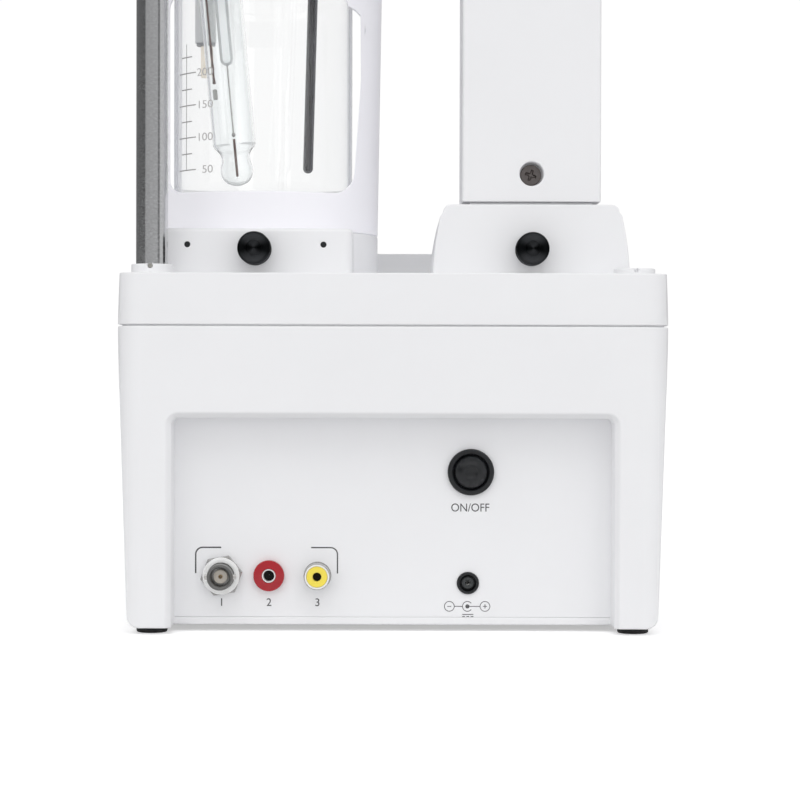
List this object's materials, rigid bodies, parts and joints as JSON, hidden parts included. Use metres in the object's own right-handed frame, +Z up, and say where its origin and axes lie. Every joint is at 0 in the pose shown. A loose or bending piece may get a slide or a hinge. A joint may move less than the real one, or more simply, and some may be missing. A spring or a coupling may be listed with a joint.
{
  "type": "automatic titrator",
  "caption": "Bench-top automatic titrator with a sloping console, a stirrer with guarded beaker, an electrode holder on a rod and a dispensing pump tower.",
  "frame": {"origin": "middle of the case's outline on the resting surface", "axes": "+X to the right seen from behind, +Y from the connector side to the user's side, +Z up"},
  "size_m": [0.205, 0.315, 0.375],
  "materials": {
    "white_abs": "satin moulded",
    "guard_abs": "satin moulded",
    "foot_rubber": "matte",
    "screw_steel": "satin",
    "film": "fine texture",
    "window": "clear",
    "display": "gloss",
    "board": "solder mask",
    "black_plastic": "satin",
    "nickel": "bright nickel",
    "insulator": "smooth",
    "red_plastic": "gloss",
    "yellow_plastic": "gloss",
    "rod_steel": "ground",
    "black_metal": "black anodised, turned",
    "motor_metal": "plated",
    "grey_plastic": "satin",
    "magnet": "nickel plated",
    "glass": "clear",
    "white_fluoro": "waxy",
    "electrode_inner": "drawn",
    "cap_plastic": "satin",
    "probe_steel": "dark satin",
    "bronze_screw": "dark bronze",
    "frame_alu": "satin",
    "valve_white": "satin",
    "blue_plastic": "satin"
  },
  "bodies": {
    "case": {"lower_case": "white_abs", "upper_case": "white_abs", "connector_panel": "white_abs", "feet": "foot_rubber", "case_screws": "screw_steel", "keypad_film": "film", "display_window": "window", "display_module": "display", "main_board": "board", "sensor_board": "board", "power_bezel": "black_plastic", "power_switch": "black_plastic", "bnc_socket": "nickel", "bnc_core": "insulator", "ref_socket": "red_plastic", "ref_contact": "nickel", "temp_socket": "nickel", "temp_core": "yellow_plastic", "supply_jack": "black_plastic", "supply_pin": "nickel", "data_sockets": "nickel", "support_rod": "rod_steel", "rod_set_screw": "screw_steel", "blanking_plug": "white_abs", "stirrer_housing": "white_abs", "stirrer_pins": "black_plastic", "stirrer_motor": "motor_metal", "beaker_guard": "guard_abs", "pump_foot": "white_abs", "pump_housing": "white_abs", "pump_cover": "white_abs", "tower_screw": "bronze_screw", "pump_motor": "motor_metal", "drive_frame": "frame_alu", "guide_rods": "rod_steel", "burette_barrel": "glass", "burette_rings": "white_abs", "valve_body": "valve_white", "valve_fittings": "grey_plastic", "valve_motor": "motor_metal", "pump_board": "board"},
    "power_button_body": {"power_button": "black_plastic"},
    "stirrer_lock_body": {"stirrer_lock": "black_metal"},
    "pump_lock_body": {"pump_lock": "black_metal"},
    "stir_drive": {"magnet_carrier": "grey_plastic", "magnets": "magnet"},
    "beaker_body": {"beaker": "glass"},
    "stir_bar_body": {"stir_bar": "white_fluoro"},
    "holder": {"holder_arm": "black_plastic", "dosing_tip": "white_fluoro"},
    "holder_knob_body": {"holder_knob": "black_plastic"},
    "ph_electrode": {"ph_glass": "glass", "ph_inner": "electrode_inner", "ph_cap": "cap_plastic"},
    "temperature_probe": {"temp_probe": "probe_steel", "temp_cap": "cap_plastic"},
    "lead_screw_body": {"lead_screw": "rod_steel"},
    "drive_carriage": {"carriage": "grey_plastic", "plunger": "white_fluoro"},
    "valve_rotor_body": {"valve_rotor": "blue_plastic"}
  },
  "joints": [
    {"name": "power_press", "type": "slide", "parent": "case", "child": "power_button_body", "axis": [0, 1, 0], "range_m": [0, 0.0015], "stiffness_N_per_m": 900, "springref_m": -0.0015},
    {"name": "stirrer_lock_turn", "type": "hinge", "parent": "case", "child": "stirrer_lock_body", "pos_m": [-0.0525, -0.137, 0.144], "axis": [0, -1, 0], "range_deg": [0, 1080]},
    {"name": "pump_lock_turn", "type": "hinge", "parent": "case", "child": "pump_lock_body", "pos_m": [0.0525, -0.137, 0.144], "axis": [0, -1, 0], "range_deg": [0, 1080]},
    {"name": "stirrer_spin", "type": "hinge", "parent": "case", "child": "stir_drive", "pos_m": [-0.0525, -0.0745, 0.15], "axis": [0, 0, 1], "continuous": true},
    {"name": "beaker_lift", "type": "slide", "parent": "case", "child": "beaker_body", "axis": [0, 0, 1], "range_m": [0, 0.005]},
    {"name": "stir_bar_spin", "type": "hinge", "parent": "beaker_body", "child": "stir_bar_body", "pos_m": [-0.0525, -0.0745, 0.1668], "axis": [0, 0, 1], "continuous": true},
    {"name": "holder_slide", "type": "slide", "parent": "case", "child": "holder", "axis": [0, 0, 1], "range_m": [0, 0.075]},
    {"name": "holder_clamp_turn", "type": "hinge", "parent": "holder", "child": "holder_knob_body", "pos_m": [-0.0728, -0.1395, 0.275], "axis": [1, 0, 0], "range_deg": [0, 720]},
    {"name": "ph_lift", "type": "slide", "parent": "holder", "child": "ph_electrode", "axis": [-0.0941, 0, 0.9956], "range_m": [0, 0.115]},
    {"name": "probe_lift", "type": "slide", "parent": "holder", "child": "temperature_probe", "axis": [0.0262, 0, 0.9997], "range_m": [0, 0.11]},
    {"name": "drive_travel", "type": "slide", "parent": "case", "child": "drive_carriage", "axis": [0, 0, 1], "range_m": [0, 0.05]},
    {"name": "lead_screw_turn", "type": "hinge", "parent": "case", "child": "lead_screw_body", "pos_m": [0.0525, -0.1, 0.2], "axis": [0, 0, 1], "range_deg": [0, 4500]},
    {"name": "valve_turn", "type": "hinge", "parent": "case", "child": "valve_rotor_body", "pos_m": [0.0525, -0.08, 0.3117], "axis": [0, 1, 0], "range_deg": [0, 90]}
  ],
  "couplings": [
    {"joint": "stir_bar_spin", "follows": "stirrer_spin", "ratio": 1},
    {"joint": "lead_screw_turn", "follows": "drive_travel", "rad_per_m": 1570.8}
  ]
}
